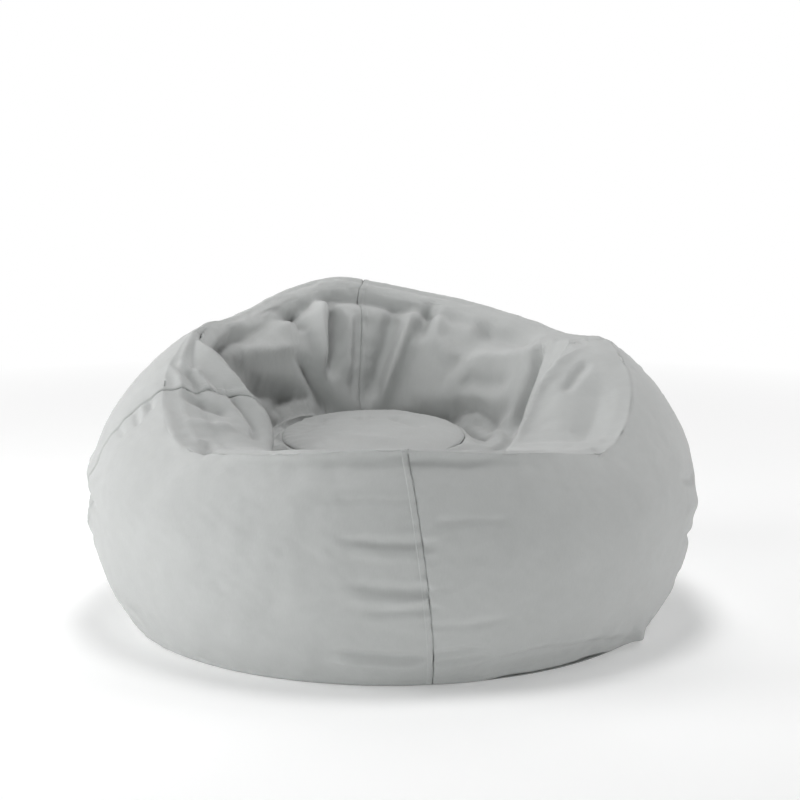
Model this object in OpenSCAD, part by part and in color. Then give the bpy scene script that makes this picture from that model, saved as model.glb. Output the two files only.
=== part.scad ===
// Bean bag chair. A sewn cover of four upright panels, a round seat disc and a two-part base
// holds a liner bag full of loose beads. The cover and the liner each close with a zip in the
// base. Lengths are in millimetres. +Z is up, the bag stands on z = 0 and its low front faces -Y.

/* [Body] */
// Radius of the flat base
base_r = 408; // [395:1:420]
// Radius of the bulging sides, left and right
side_belly_r = 475; // [460:1:495]
// Radius of the bulging front and back
front_belly_r = 458; // [440:1:475]
// Height at which the sides are widest
belly_z = 200; // [180:5:220]

/* [Rim] */
// Height of the low front rim
front_rim_z = 344; // [330:2:356]
// Height of the two pockets where the front rim meets the arms
pocket_z = 306; // [295:1:320]
// Height of the arms at the two sides
arm_rim_z = 446; // [430:2:465]
// Height of the back rest
back_rim_z = 500; // [480:2:520]
// Radius of the rim's crest at the front
front_rim_r = 420; // [400:5:430]
// Radius of the rim's crest in the two pockets
pocket_r = 412; // [400:2:425]
// Radius of the rim's crest at the arms
arm_rim_r = 335; // [320:5:350]
// Radius of the rim's crest at the back
back_rim_r = 280; // [265:5:300]
// How far the wall above the belly leans in: 1 is a round shoulder, 2 a slope
shoulder = 1.8; // [1.2:0.1:2]

/* [Seat] */
// Radius of the round seat disc
disc_r = 145; // [135:1:155]
// How far the disc lies off the bag's middle, negative to the left
disc_x = -30; // [-40:2:0]
// Height of the seat disc's middle plane
disc_z = 280; // [270:2:290]
// How much higher the disc's back edge is than its middle plane
disc_tilt = 12; // [4:1:20]
// How far the disc swells above its edge
disc_crown = 16; // [8:1:24]
// How far the hollow round the disc lies below the disc's edge
moat = 14; // [0:1:20]

/* [Layers] */
// Thickness of the woven cover, as sewn
cloth_t = 1.2; // [0.8:0.1:1.6]
// Thickness of the liner bag
liner_t = 0.6; // [0.4:0.1:0.8]
// Thickness of a row of sewing thread
thread_t = 0.8; // [0.6:0.1:1]

/* [Cover zip] */
// Length of the cover zip's opening, across the base
zip_l = 600; // [500:10:640]
// Width of the cover zip's closed row of teeth
zip_w = 6.4; // [6:0.2:7]
// Thickness of the cover zip's teeth
zip_t = 2.8; // [2.4:0.1:3]

/* [Liner zip] */
// Length of the liner zip's opening
liner_zip_l = 480; // [400:10:500]
// Width of the liner zip's closed row of teeth
liner_zip_w = 5; // [4.6:0.2:5.4]
// Thickness of the liner zip's teeth
liner_zip_t = 1.6; // [1.4:0.1:1.8]

/* [Hidden] */
PANELS = ["panel_front_right", "panel_back_right", "panel_back_left", "panel_front_left"];
THREADS = ["thread_front", "thread_right", "thread_back", "thread_left"];

cloth = [0.70, 0.73, 0.72];
thread = [0.62, 0.65, 0.64];
lining = [0.93, 0.93, 0.91];
tape = [0.60, 0.63, 0.62];
nickel = [0.75, 0.75, 0.76];
beads = [0.97, 0.97, 0.97];

// Azimuths of the four seams, counterclockwise from +X, where they leave the base, where they
// cross the rim and where they reach the seat disc. The bag stands a little turned and twisted.
seam_base = [278, 362, 458, 548];
seam_rim = [273, 363, 460, 556];
seam_disc = [272, 320, 458, 582];
SEAMS = 4;

// The rim right round: azimuth, the crest's radius and height, and the radius and height of the
// lip, where the wall drops into the seat, and how far in the wall reaches its foot, as a share of
// the way to the disc. Between the crest and the lip lie the arms' sloping tops.
RIM = [[0, arm_rim_r, arm_rim_z - 14, 290, 424, 0.5],
       [28, arm_rim_r - 10, arm_rim_z - 30, 285, 408, 0.65],
       [60, back_rim_r + 20, back_rim_z - 48, 265, 443, 0.75],
       [88, back_rim_r, back_rim_z - 21, 250, 470, 0.8],
       [110, back_rim_r, back_rim_z, 250, 490, 0.85],
       [128, back_rim_r + 10, back_rim_z - 20, 255, 470, 0.8],
       [150, back_rim_r + 15, arm_rim_z - 2, 260, 438, 0.7], [176, arm_rim_r - 25, arm_rim_z, 292, 440, 0.5],
       [187, 350, 395, 255, 390, 0.4], [199, 365, 358, 207, 334, 0.4], [213, 392, 322, 187, 290, 0.4],
       [226, pocket_r, pocket_z, 230, 285, 0.5], [245, front_rim_r, front_rim_z - 16, 320, 300, 0.6],
       [270, front_rim_r, front_rim_z, 355, 318, 0.6], [295, front_rim_r, front_rim_z - 16, 325, 300, 0.6],
       [312, pocket_r, pocket_z + 2, 250, 283, 0.5], [322, pocket_r, pocket_z, 244, 290, 0.4],
       [332, 398, 342, 246, 318, 0.4], [341, 385, 375, 250, 356, 0.4], [350, 355, 415, 263, 398, 0.45],
       [360, arm_rim_r, arm_rim_z - 14, 290, 424, 0.5]];
CREST_R = [for (p = RIM) [p[0], p[1]]];
CREST_Z = [for (p = RIM) [p[0], p[2]]];
LIP_R = [for (p = RIM) [p[0], p[3]]];
LIP_Z = [for (p = RIM) [p[0], p[4]]];
FOOT = [for (p = RIM) [p[0], p[5]]];

// Rings of the skin: s runs 0 to 1 up to the belly, 1 to 2 up to the rim's crest, 2 to LIP in to
// the lip, LIP to 3 down the seat's wall to the disc's edge, and 3 to 4 in to the disc's middle.
LIP = 2.4;
WALL_RINGS = [0, 0.25, 0.5, 0.75, 1, 1.17, 1.33, 1.5, 1.67, 1.83, 2,
              2.1, 2.2, 2.3, 2.4, 2.45, 2.5, 2.56, 2.62, 2.7, 2.78, 2.84, 2.89, 2.94, 3];
TOP_RINGS = [3, 3.35, 3.7];
PANEL_COLUMNS = 18;
AROUND = 54;
base_corner = 60;   // how far round the lower bulge turns before it meets the base, degrees

// Depths below the cover's outer face and the floors of the inner layers
liner_depth = 8;
fill_depth = 12.6;
liner_floor = 8.2;
fill_floor = 10.2;
disc_gap = 0.9;     // the seat disc moves, so it stands this clear of the panels

// Cover zip: the base rises in two lips to carry the tapes off the floor
lip_w = 36;
slot_w = 8;
lip_z = 3.4;
tape_t = 0.8;
tape_w = 15;
zip_z = lip_z + cloth_t + tape_t / 2;
zip_slack = 0.3;    // room between the slider and what runs through it
slider_l = 15;
plate_t = 1.2;
bridge_z = 1.4;

// Liner zip: further back than the cover zip, so the two sliders never meet
liner_zip_y = 120;
liner_tape_t = 0.6;
liner_slot_w = 6;
liner_slot_end = 10;   // how far the slot runs past the teeth, for the stops
liner_zip_z = liner_floor - liner_tape_t / 2;
liner_slider_l = 12;
liner_plate_t = 0.8;
liner_bridge_z = 0.9;

function mix(a, b, w) = a + (b - a) * w;
function unit(v) = v / norm(v);
function smooth(x) = let (c = min(max(x, 0), 1)) c * c * (3 - 2 * c);

// A value from a table by azimuth, with its corners rounded over 8 degrees each way
function around(a, table) =
    (lookup((a + 352) % 360, table) + 2 * lookup((a + 356) % 360, table) + 3 * lookup(a % 360, table)
     + 2 * lookup((a + 4) % 360, table) + lookup((a + 8) % 360, table)) / 9;
function belly_r(a) = mix(front_belly_r, side_belly_r, pow(cos(a), 2));
function disc_edge_z(a) = disc_z + disc_tilt * sin(a);

// Radius and height of the skin's outer face at azimuth a and ring s
function lower_wall(a, s) =
    let (turn = base_corner * (1 - s), bulge = belly_r(a) - base_r)
    [belly_r(a) - bulge * (1 - cos(turn)) / (1 - cos(base_corner)),
     belly_z * (1 - sin(turn) / sin(base_corner))];
function upper_wall(a, s) =
    let (turn = 90 * (s - 1))
    [mix(around(a, CREST_R), belly_r(a), pow(cos(turn), shoulder)),
     mix(belly_z, around(a, CREST_Z), sin(turn))];
function rim_top(a, s) =
    let (in = (s - 2) / (LIP - 2))
    [mix(around(a, CREST_R), around(a, LIP_R), in), mix(around(a, CREST_Z), around(a, LIP_Z), in * in)];
function seat_wall(a, s) =
    let (in = (s - LIP) / (3 - LIP), foot = around(a, FOOT), down = min(in / foot, 1),
         hollow = disc_edge_z(a) - moat * (1 - smooth((in - foot) / (1 - foot))),
         steep = (sin(90 * down) + smooth(down)) / 2, round = pow(down, 1.7),
         drop = mix(steep, round, smooth((sin(a) + 0.1) / 0.6)))
    [mix(around(a, LIP_R), disc_r, in), mix(around(a, LIP_Z), hollow, drop)];
function seat_top(a, s) =
    let (share = 4 - s)
    [disc_r * share,
     disc_z - share * (disc_z - disc_edge_z(a)) + disc_crown * (1 - share * share)];
function outline(a, s) =
    s <= 1 ? lower_wall(a, s) :
    s <= 2 ? upper_wall(a, s) :
    s <= LIP ? rim_top(a, s) :
    s < 3 ? seat_wall(a, s) : seat_top(a, s);

// The same, d below the outer face and standing on z0
function profile(a, s, d, z0) =
    let (p = outline(a, s))
    s <= 1 ? [p[0] - d, mix(belly_z, z0, 1 - p[1] / belly_z)] :
    s >= 3 ? [p[0], p[1] - d] :
    let (step = 0.01, along = outline(a, s + step) - outline(a, s - step))
    p - d * [along[1], -along[0]] / norm(along);
function skin(a, s, d = 0, z0 = 0) =
    let (p = profile(a, s, d, z0)) [p[0] * cos(a) + disc_x * smooth(s - 2), p[0] * sin(a), p[1]];

// Azimuth of seam k at ring s; seam 4 is seam 0 after a whole turn
function seam_at(k, s) =
    let (i = k % SEAMS, turn = 360 * floor(k / SEAMS))
    turn + (s <= 2 ? mix(seam_base[i], seam_rim[i], smooth(s / 2))
                   : mix(seam_rim[i], seam_disc[i], smooth((s - 2.35) / 0.35)));

function quad(a, b, c, d) = [[a, b, c], [a, c, d]];
function flat(rows) = [for (row = rows) each row];

// A closed sheet between two grids of points, row by row. closed joins the last column to the first.
module sheet(outer, inner, closed = false) {
    rows = len(outer);
    columns = len(outer[0]);
    n = rows * columns;
    last = closed ? columns - 1 : columns - 2;
    function at(r, c) = r * columns + c % columns;
    faces = concat(
        [for (r = [0:rows - 2], c = [0:last])
            each quad(at(r, c), at(r + 1, c), at(r + 1, c + 1), at(r, c + 1))],
        [for (r = [0:rows - 2], c = [0:last])
            each quad(n + at(r, c), n + at(r, c + 1), n + at(r + 1, c + 1), n + at(r + 1, c))],
        [for (c = [0:last]) each quad(at(0, c), at(0, c + 1), n + at(0, c + 1), n + at(0, c))],
        [for (c = [0:last])
            each quad(at(rows - 1, c + 1), at(rows - 1, c), n + at(rows - 1, c), n + at(rows - 1, c + 1))],
        closed ? [] : [for (r = [0:rows - 2])
            each quad(at(r + 1, 0), at(r, 0), n + at(r, 0), n + at(r + 1, 0))],
        closed ? [] : [for (r = [0:rows - 2])
            each quad(at(r, columns - 1), at(r + 1, columns - 1),
                      n + at(r + 1, columns - 1), n + at(r, columns - 1))]);
    polyhedron(concat(flat(outer), flat(inner)), faces);
}

// A closed body lofted through rings, capped by a fan to a middle point at each end
module loft(rings, first_middle, last_middle) {
    rows = len(rings);
    columns = len(rings[0]);
    n = rows * columns;
    function at(r, c) = r * columns + c % columns;
    faces = concat(
        [for (r = [0:rows - 2], c = [0:columns - 1])
            each quad(at(r, c), at(r + 1, c), at(r + 1, c + 1), at(r, c + 1))],
        [for (c = [0:columns - 1]) [at(0, c), at(0, c + 1), n]],
        [for (c = [0:columns - 1]) [at(rows - 1, c + 1), at(rows - 1, c), n + 1]]);
    polyhedron(concat(flat(rings), [first_middle, last_middle]), faces);
}

function ring_of(s, d, z0) = [for (i = [0:AROUND - 1]) skin(360 * i / AROUND, s, d, z0)];

// One upright panel, from seam k to seam k + 1 and from the base to the seat disc
module panel(k) {
    function grid(d) = [for (s = WALL_RINGS) [for (i = [0:PANEL_COLUMNS])
        skin(mix(seam_at(k, s), seam_at(k + 1, s), i / PANEL_COLUMNS), s, d)]];
    color(cloth) sheet(grid(0), grid(cloth_t));
}

// Two rows of topstitching along seam k, one on each side of the joint
module seam_thread(k) {
    row_gap = 3.2;
    step = 0.01;
    function place(s) = skin(seam_at(k, s), s);
    function across(s) = cross(out(s), unit(place(s + step) - place(s - step)));
    function out(s) = let (a = seam_at(k, s))
        unit(cross(skin(a + 1, s) - skin(a - 1, s), skin(a, s + step) - skin(a, s - step)));
    function row_grid(side, d) = [for (s = concat([step], [for (i = [1:len(WALL_RINGS) - 2]) WALL_RINGS[i]],
                                                  [3 - step]))
        [for (edge = [-0.5, 0.5]) place(s) + (side * row_gap + edge * thread_t) * across(s) - d * out(s)]];
    color(thread) for (side = [-1, 1]) sheet(row_grid(side, -thread_t / 2), row_grid(side, thread_t / 2));
}

// The round disc in the seat, crowned by the beads under it
module seat_disc() {
    edge = 3 + disc_gap / disc_r;
    rings = concat([edge], [for (i = [1:len(TOP_RINGS) - 1]) TOP_RINGS[i]]);
    color(cloth) loft(
        concat([for (i = [len(rings) - 1:-1:0]) ring_of(rings[i], cloth_t, 0)],
               [for (s = rings) ring_of(s, 0, 0)]),
        [disc_x, 0, disc_z + disc_crown - cloth_t], [disc_x, 0, disc_z + disc_crown]);
}

// The row of thread that joins the seat disc to the panels, on the disc's side of the joint
module thread_seat_ring() {
    near = 3.028;
    far = near + thread_t / disc_r;
    color(thread) sheet([ring_of(near, -thread_t / 2, 0), ring_of(far, -thread_t / 2, 0)],
                        [ring_of(near, thread_t / 2, 0), ring_of(far, thread_t / 2, 0)], true);
}

// The row of thread that joins the panels to the base, just above the corner
module thread_base_ring() {
    low = 0.022;
    high = low + 0.006;
    color(thread) sheet([ring_of(low, -thread_t / 2, 0), ring_of(high, -thread_t / 2, 0)],
                        [ring_of(low, thread_t / 2, 0), ring_of(high, thread_t / 2, 0)], true);
}

// Half of the base, side -1 at the front and 1 at the rear, with a raised lip along the zip
module base_half(side) {
    inside_r = base_r - cloth_t - 1.5;
    lip_l = zip_l + 2 * tape_w;
    color(cloth) {
        difference() {
            cylinder(h = cloth_t, r = inside_r, $fn = 96);
            translate([-base_r, side > 0 ? -base_r : 0, -1]) cube([2 * base_r, base_r, cloth_t + 2]);
            translate([-lip_l / 2, -lip_w, -1]) cube([lip_l, 2 * lip_w, cloth_t + 2]);
        }
        translate([-lip_l / 2, 0, 0]) rotate([90, 0, 90]) linear_extrude(height = lip_l)
            polygon([[side * lip_w, 0], [side * lip_w, cloth_t],
                     [side * slot_w, lip_z + cloth_t], [side * slot_w, lip_z]]);
    }
}

// The topstitching that holds the zip's tapes to the lips
module thread_zip() {
    inset = 3;
    z = lip_z * (lip_w - slot_w - inset) / (lip_w - slot_w);
    color(thread) for (side = [-1, 1])
        translate([-zip_l / 2, side * (slot_w + inset) - thread_t / 2, z - thread_t / 2])
            cube([zip_l, thread_t, thread_t]);
}

// A woven tape beside the teeth, side -1 or 1 of the line at y
module tape_strip(side, l, inner, w, t, z) {
    color(tape) translate([-l / 2, side > 0 ? inner : -inner - w, z - t / 2]) cube([l, w, t]);
}

// One half of a closed row of teeth
module teeth_strip(side, l, w, t, z) {
    parting = 0.05;
    color(tape) translate([-l / 2, side > 0 ? parting : -w / 2, z - t / 2])
        cube([l, w / 2 - parting, t]);
}

// A locking slider with no pull tab. Two plates, joined by a post ahead of the teeth, with
// flanges that stop short of the tape, and a low bridge on the outside. x = 0 is its tail.
module slider(l, w, t, z, plate, bridge, tape_thick) {
    half_in = w / 2 + zip_slack;
    half_out = half_in + plate;
    room = t / 2 + zip_slack;
    tape_room = tape_thick / 2 + zip_slack;
    post_l = l / 4;
    color(nickel) translate([0, 0, z]) {
        for (side = [-1, 1]) {
            translate([0, -half_out, side > 0 ? room : -room - plate]) cube([l, 2 * half_out, plate]);
            for (edge = [-1, 1])
                translate([0, edge > 0 ? half_in : -half_out, side > 0 ? tape_room : -room])
                    cube([l, plate, room - tape_room]);
        }
        translate([l - post_l, -w / 4, -room]) cube([post_l, w / 2, 2 * room]);
        translate([l / 5, -w / 8, -room - plate - bridge]) difference() {
            cube([3 * l / 5, w / 4, bridge]);
            translate([l / 6, -1, bridge / 2]) cube([4 * l / 15, w / 4 + 2, bridge]);
        }
    }
}

// Clips that end the row of teeth: one on each side at the slider's end, one across the other
module stops(l, w, t, z, ahead) {
    clip = 3;
    wrap = 0.35;
    color(nickel) translate([0, 0, z]) {
        for (side = [-1, 1])
            translate([l / 2 + ahead, side > 0 ? w / 4 + 1.2 : -w / 4 - 1.2 - clip, -t / 2])
                cube([clip, clip, t]);
        translate([-l / 2 - clip, -w / 2 - wrap, -t / 2 - wrap])
            cube([clip - 0.1, w + 2 * wrap, t + 2 * wrap]);
    }
}

module zip_slider() {
    translate([zip_l / 2 - slider_l * 0.7, 0, 0])
        slider(slider_l, zip_w, zip_t, zip_z, plate_t, bridge_z, tape_t);
}

module liner_slider() {
    translate([liner_zip_l / 2 - liner_slider_l * 0.7, liner_zip_y, 0])
        slider(liner_slider_l, liner_zip_w, liner_zip_t, liner_zip_z,
               liner_plate_t, liner_bridge_z, liner_tape_t);
}

// The liner's sides and seat wall, one bag of thin cloth just inside the cover
module liner_body() {
    function rings(d) = [for (s = WALL_RINGS) ring_of(s, d, liner_floor)];
    color(lining) sheet(rings(liner_depth), rings(liner_depth + liner_t), true);
}

// The liner's round top, under the seat disc
module liner_top() {
    rings = concat([3.01], [for (i = [1:len(TOP_RINGS) - 1]) TOP_RINGS[i]]);
    low = liner_depth + liner_t;
    color(lining) loft(
        concat([for (i = [len(rings) - 1:-1:0]) ring_of(rings[i], low, 0)],
               [for (s = rings) ring_of(s, liner_depth, 0)]),
        [disc_x, 0, disc_z + disc_crown - low], [disc_x, 0, disc_z + disc_crown - liner_depth]);
}

// Part of the liner's base, side -1 in front of its zip and 1 behind it
module liner_base(side) {
    inside_r = base_r - liner_depth - liner_t - 1;
    far = 2 * base_r;
    color(lining) translate([0, 0, liner_floor]) difference() {
        cylinder(h = liner_t, r = inside_r, $fn = 96);
        translate([-base_r, side > 0 ? liner_zip_y - far : liner_zip_y, -1]) cube([far, far, liner_t + 2]);
        translate([-liner_zip_l / 2 - liner_slot_end, liner_zip_y - liner_slot_w, -1])
            cube([liner_zip_l + 2 * liner_slot_end, 2 * liner_slot_w, liner_t + 2]);
    }
}

// The loose beads, as one body that fills the liner
module bead_fill() {
    rings = concat(WALL_RINGS, [TOP_RINGS[1], TOP_RINGS[2]]);
    color(beads) loft([for (s = rings) ring_of(s, fill_depth, fill_floor)],
                      [0, 0, fill_floor], [disc_x, 0, disc_z + disc_crown - fill_depth]);
}

for (k = [0:SEAMS - 1]) {
    panel(k);
    seam_thread(k);
}
seat_disc();
thread_seat_ring();
thread_base_ring();
thread_zip();
base_half(-1);  // base_front
base_half(1);  // base_rear
tape_strip(-1, zip_l + tape_w, zip_w / 2, tape_w, tape_t, zip_z);  // zip_tape_front
tape_strip(1, zip_l + tape_w, zip_w / 2, tape_w, tape_t, zip_z);  // zip_tape_rear
teeth_strip(-1, zip_l, zip_w, zip_t, zip_z);  // zip_teeth_front
teeth_strip(1, zip_l, zip_w, zip_t, zip_z);  // zip_teeth_rear
zip_slider();
stops(zip_l, zip_w, zip_t, zip_z, slider_l * 0.3 + 1);  // zip_stops
liner_body();
liner_top();
liner_base(-1);  // liner_base_front
liner_base(1);  // liner_base_rear
translate([0, liner_zip_y, 0])  // liner_tape_front
    tape_strip(-1, liner_zip_l + tape_w, liner_zip_w / 2, tape_w, liner_tape_t, liner_zip_z);
translate([0, liner_zip_y, 0])  // liner_tape_rear
    tape_strip(1, liner_zip_l + tape_w, liner_zip_w / 2, tape_w, liner_tape_t, liner_zip_z);
translate([0, liner_zip_y, 0])  // liner_teeth_front
    teeth_strip(-1, liner_zip_l, liner_zip_w, liner_zip_t, liner_zip_z);
translate([0, liner_zip_y, 0])  // liner_teeth_rear
    teeth_strip(1, liner_zip_l, liner_zip_w, liner_zip_t, liner_zip_z);
liner_slider();
translate([0, liner_zip_y, 0])  // liner_stops
    stops(liner_zip_l, liner_zip_w, liner_zip_t, liner_zip_z, liner_slider_l * 0.3 + 1);
bead_fill();
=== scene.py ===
import bpy
import math
import numpy as np
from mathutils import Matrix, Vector
from mathutils.bvhtree import BVHTree


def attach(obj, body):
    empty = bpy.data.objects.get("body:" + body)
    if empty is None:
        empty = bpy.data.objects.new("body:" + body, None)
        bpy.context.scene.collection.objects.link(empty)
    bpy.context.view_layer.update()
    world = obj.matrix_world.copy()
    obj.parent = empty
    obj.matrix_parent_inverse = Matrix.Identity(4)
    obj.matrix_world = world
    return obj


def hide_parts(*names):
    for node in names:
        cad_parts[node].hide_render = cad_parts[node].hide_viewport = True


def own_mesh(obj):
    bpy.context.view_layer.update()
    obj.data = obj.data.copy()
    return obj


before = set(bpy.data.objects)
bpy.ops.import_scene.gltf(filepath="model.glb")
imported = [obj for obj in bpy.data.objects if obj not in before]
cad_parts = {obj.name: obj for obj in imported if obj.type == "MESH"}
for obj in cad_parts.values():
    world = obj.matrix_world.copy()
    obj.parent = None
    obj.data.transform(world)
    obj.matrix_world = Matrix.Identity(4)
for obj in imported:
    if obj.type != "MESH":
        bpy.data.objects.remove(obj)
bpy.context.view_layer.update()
scene = bpy.context.scene
MM = 0.001

# ------------------------ camera

camera = bpy.data.objects.new("camera", bpy.data.cameras.new("camera"))
scene.collection.objects.link(camera)
camera.location = (0.0, -3.124, 0.8926)
camera.rotation_euler = Vector((0.00396, 0.98435, -0.17617)).to_track_quat("-Z", "Y").to_euler()
camera.data.lens = 90.9
camera.data.sensor_width = 36
scene.camera = camera

# ------------------------ the cover's surface

BASE_R = 0.408
SIDE_R = 0.475
FRONT_R = 0.458
BELLY_Z = 0.2
DISC_R = 0.145
DISC_X = -0.03
DISC_Z = 0.28
DISC_TILT = 0.012
DISC_CROWN = 0.016
CLOTH = 0.0012
LIP = 2.4
SEAM_BASE = [278, 362, 458, 548]
SEAM_RIM = [273, 363, 460, 556]
SEAM_DISC = [272, 320, 458, 582]
# azimuth, then radius and height of the crest and of the lip, in millimetres, and the wall's foot
RIM = np.array([
    [0, 335, 432, 290, 424, 500], [28, 325, 416, 285, 408, 650], [60, 300, 452, 265, 443, 750],
    [88, 280, 479, 250, 470, 800], [110, 280, 500, 250, 490, 850], [128, 290, 480, 255, 470, 800],
    [150, 295, 444, 260, 438, 700], [176, 310, 446, 292, 440, 500], [187, 350, 395, 255, 390, 400],
    [199, 365, 358, 207, 334, 400], [213, 392, 322, 187, 290, 400], [226, 412, 306, 230, 285, 500],
    [245, 420, 328, 320, 300, 600], [270, 420, 344, 355, 318, 600], [295, 420, 328, 325, 300, 600],
    [312, 412, 308, 250, 283, 500], [322, 412, 306, 244, 290, 400], [332, 398, 342, 246, 318, 400],
    [341, 385, 375, 250, 356, 400], [350, 355, 415, 263, 398, 450]], float)
MOAT = 0.014


def mix(a, b, w):
    return a + (b - a) * w


def smooth(x):
    x = np.clip(x, 0, 1)
    return x * x * (3 - 2 * x)


def rim(az, column):
    total = 0
    for turn, weight in ((-8, 1), (-4, 2), (0, 3), (4, 2), (8, 1)):
        total = total + weight * np.interp((az + turn) % 360, RIM[:, 0], RIM[:, column], period=360)
    return total / 9 * MM


def disc_edge(az):
    return DISC_Z + DISC_TILT * np.sin(np.radians(az))


def surface(az, s):
    """Points of the plain cover, before its folds, as an array with one more axis."""
    az, s = np.broadcast_arrays(np.asarray(az, float), np.asarray(s, float))
    crest_r, crest_z, lip_r, lip_z, foot = (rim(az, c) for c in (1, 2, 3, 4, 5))
    belly = mix(FRONT_R, SIDE_R, np.cos(np.radians(az)) ** 2)
    low = np.radians(60 * (1 - s))
    up = np.radians(90 * (np.clip(s, 1, 2) - 1))
    top = (s - 2) / (LIP - 2)
    into = (s - LIP) / (3 - LIP)
    down = np.clip(into / foot, 0, 1)
    hollow = disc_edge(az) - MOAT * (1 - smooth((into - foot) / (1 - foot)))
    bulging = smooth((np.sin(np.radians(az)) + 0.1) / 0.6)
    drop = mix((np.sin(down * math.pi / 2) + smooth(down)) / 2, down ** 1.7, bulging)
    share = 4 - s
    zones = [s <= 1, s <= 2, s <= LIP, s <= 3]
    r = np.select(zones, [
        belly - (belly - BASE_R) * (1 - np.cos(low)) * 2,
        mix(crest_r, belly, np.cos(up) ** 1.8),
        mix(crest_r, lip_r, top),
        mix(lip_r, DISC_R, into)], DISC_R * share)
    z = np.select(zones, [
        BELLY_Z * (1 - np.sin(low) / math.sin(math.radians(60))),
        mix(BELLY_Z, crest_z, np.sin(up)),
        mix(crest_z, lip_z, top ** 2),
        mix(lip_z, hollow, drop)],
        DISC_Z - share * (DISC_Z - disc_edge(az)) + DISC_CROWN * (1 - share ** 2))
    x = r * np.cos(np.radians(az)) + DISC_X * smooth(s - 2)
    return np.stack([x, r * np.sin(np.radians(az)), z], -1)


def seam_azimuth(k, s):
    i = k % 4
    turn = 360 * (k // 4)
    return turn + np.where(s <= 2, mix(SEAM_BASE[i], SEAM_RIM[i], smooth(s / 2)),
                           mix(SEAM_RIM[i], SEAM_DISC[i], smooth((s - 2.35) / 0.35)))


def azimuth(u, s):
    """Azimuth of a point u seams round from seam 0, on ring s."""
    u, s = np.broadcast_arrays(np.asarray(u, float), np.asarray(s, float))
    k = np.floor(u).astype(int)
    seams = np.stack([seam_azimuth(i, s) for i in range(6)], -1)
    first = np.take_along_axis(seams, (k % 4)[..., None], -1)[..., 0]
    second = np.take_along_axis(seams, (k % 4 + 1)[..., None], -1)[..., 0]
    return mix(first, second, u - k) + 360 * (k // 4)


def unit(v):
    return v / np.maximum(np.linalg.norm(v, axis=-1, keepdims=True), 1e-12)


def run(line):
    """How far along a line each of its points lies."""
    return np.concatenate([[0], np.cumsum(np.linalg.norm(np.diff(line, axis=0), axis=1))])


def rise(grid):
    """How far from its first row each row of a grid lies, on average."""
    return np.concatenate([[0], np.cumsum(np.linalg.norm(np.diff(grid, axis=0), axis=-1).mean(1))])


def spots(at, along, values):
    """Values, given along a line, read at other places on it."""
    return np.stack([np.interp(at, along, values[:, c]) for c in range(values.shape[1])], -1)


def beside_rows(grid):
    """A grid's next and previous rows, where the end rows are their own neighbours."""
    tall = np.concatenate([grid[:1], grid, grid[-1:]])
    return tall[2:], tall[:-2]


def beside_columns(grid):
    """A grid's previous and next columns, where the last one meets the first."""
    return np.roll(grid, 1, 1), np.roll(grid, -1, 1)


def normals_of(grid, wrap=False):
    """Outward normals of a grid of points with rings down and azimuth across."""
    before, after = beside_columns(grid)
    across = after - before if wrap else np.gradient(grid, axis=1)
    return unit(np.cross(across, np.gradient(grid, axis=0)))


def waves(points, scale, seed, count=28):
    """Smooth seeded noise of about unit size; scale is the wavelength in metres, one or three values."""
    rng = np.random.default_rng(seed)
    k = unit(rng.normal(size=(count, 3))) * rng.uniform(0.7, 1.4, (count, 1)) * 2 * math.pi
    k = k / np.broadcast_to(scale, 3)
    phase = rng.uniform(0, 2 * math.pi, count)
    return np.sin(points @ k.T + phase).sum(-1) / math.sqrt(count / 2) / 1.4


# ------------------------ folds placed one by one

# Each fold: height and half-width in millimetres, then its path in pairs of azimuth and ring.
# A taper says how much wider it gets towards the end of its path.
PATH_STEP = 0.004


def kind_of_fold(sign, sharp):
    return lambda size, width, *path, taper=0: (sign * size, sharp, width, path, taper)


ridge, valley = kind_of_fold(1, False), kind_of_fold(-1, False)
edge, crease = kind_of_fold(1, True), kind_of_fold(-1, True)

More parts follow.
